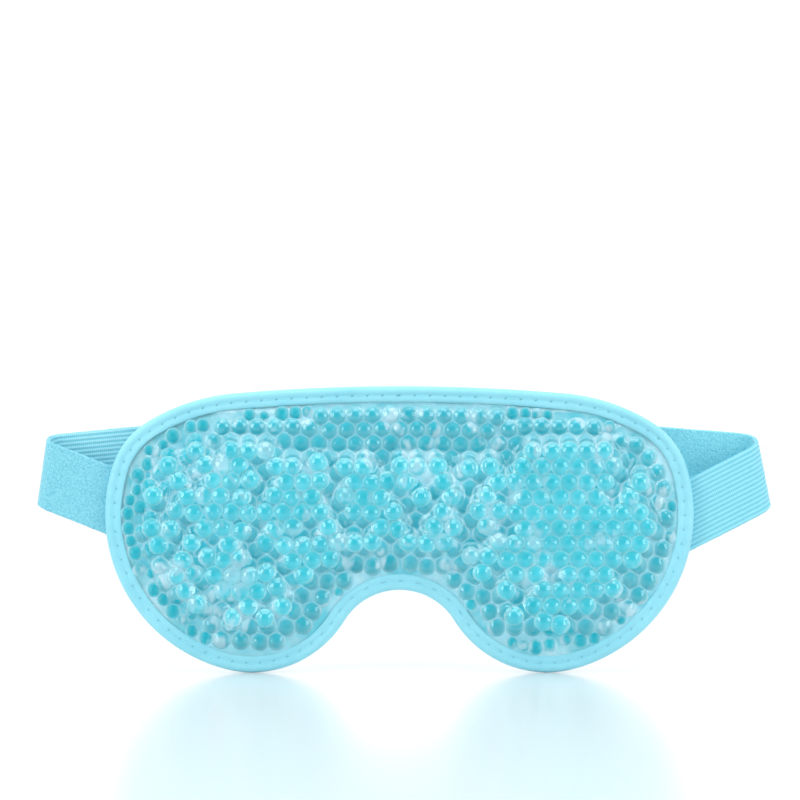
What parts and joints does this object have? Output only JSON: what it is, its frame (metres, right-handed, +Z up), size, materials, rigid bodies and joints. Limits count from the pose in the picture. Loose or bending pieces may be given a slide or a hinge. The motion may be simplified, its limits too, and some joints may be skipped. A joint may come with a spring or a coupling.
{
  "type": "eye pillow",
  "caption": "Gel-bead eye pillow: clear bead pouch on a plush back with a bound edge, nose arch and a two-part elastic strap joined by a hook tab.",
  "frame": {"origin": "on the plush back face, on the centre line, half way between the top edge and the top of the nose arch", "axes": "+X towards the viewer's right seen from the bead side, +Y out of the plush back towards the wearer's head, +Z up"},
  "size_m": [0.2719, 0.0285, 0.1053],
  "materials": {
    "gel_bead": "gloss",
    "front_film": "gloss",
    "back_film": "gloss",
    "plush": "matte",
    "binding_tape": "satin",
    "thread": "satin",
    "elastic_left": "matte",
    "elastic_right": "matte",
    "hook_plastic": "matte"
  },
  "bodies": {
    "mask": {"plush_backing": "plush", "back_film": "back_film", "front_film": "front_film", "gel_beads_rear_left": "gel_bead", "gel_beads_rear_middle": "gel_bead", "gel_beads_rear_right": "gel_bead", "gel_beads_front_left": "gel_bead", "gel_beads_front_middle": "gel_bead", "gel_beads_front_right": "gel_bead", "edge_binding": "binding_tape", "binding_stitches_front": "thread", "binding_stitches_back": "thread", "left_strap_root": "elastic_left", "left_root_stitches": "thread", "right_strap_root": "elastic_right", "right_root_stitches": "thread"},
    "left_strap": {"left_strap_outer": "elastic_left"},
    "left_fold": {"left_strap_fold": "elastic_left"},
    "left_tail": {"left_strap_tail": "elastic_left", "left_tip_hem": "elastic_left", "left_hem_stitches": "thread"},
    "right_strap": {"right_strap_outer": "elastic_right"},
    "right_fold": {"right_strap_fold": "elastic_right"},
    "right_tail": {"right_strap_tail": "elastic_right"},
    "hook_tab": {"right_strap_tab": "elastic_right", "hook_patch": "hook_plastic", "hook_patch_stitches": "thread"}
  },
  "joints": [
    {"name": "left_seam_swing", "type": "hinge", "parent": "mask", "child": "left_strap", "pos_m": [-0.1086, 0.00025, -0.0041], "axis": [-0.1392, 0, -0.9903], "range_deg": [0, 85]},
    {"name": "left_corner_turn", "type": "hinge", "parent": "left_strap", "child": "left_fold", "pos_m": [-0.13165, 0.00025, 0.00503], "axis": [-0.1392, 0, -0.9903], "range_deg": [-85, 0]},
    {"name": "left_tail_swing", "type": "hinge", "parent": "left_fold", "child": "left_tail", "pos_m": [-0.13165, 0.00925, 0.00503], "axis": [0.1392, 0, 0.9903], "range_deg": [0, 97.5]},
    {"name": "right_seam_swing", "type": "hinge", "parent": "mask", "child": "right_strap", "pos_m": [0.1092, 0.00025, -0.0089], "axis": [-0.1942, 0, 0.981], "range_deg": [0, 85]},
    {"name": "right_corner_turn", "type": "hinge", "parent": "right_strap", "child": "right_fold", "pos_m": [0.13467, 0.00025, 0.00407], "axis": [-0.1942, 0, 0.981], "range_deg": [-85, 0]},
    {"name": "right_tail_swing", "type": "hinge", "parent": "right_fold", "child": "right_tail", "pos_m": [0.13467, 0.01225, 0.00407], "axis": [0.1942, 0, -0.981], "range_deg": [0, 150]},
    {"name": "hook_tab_peel", "type": "hinge", "parent": "right_tail", "child": "hook_tab", "pos_m": [0.02237, 0.01225, 0.01639], "axis": [-0.0802, 0, -0.9968], "range_deg": [0, 120]}
  ],
  "couplings": [
    {"joint": "left_corner_turn", "follows": "left_seam_swing", "ratio": -1},
    {"joint": "right_seam_swing", "follows": "left_seam_swing", "ratio": 1},
    {"joint": "right_corner_turn", "follows": "left_seam_swing", "ratio": -1},
    {"joint": "left_tail_swing", "follows": "right_tail_swing", "ratio": 0.65}
  ]
}
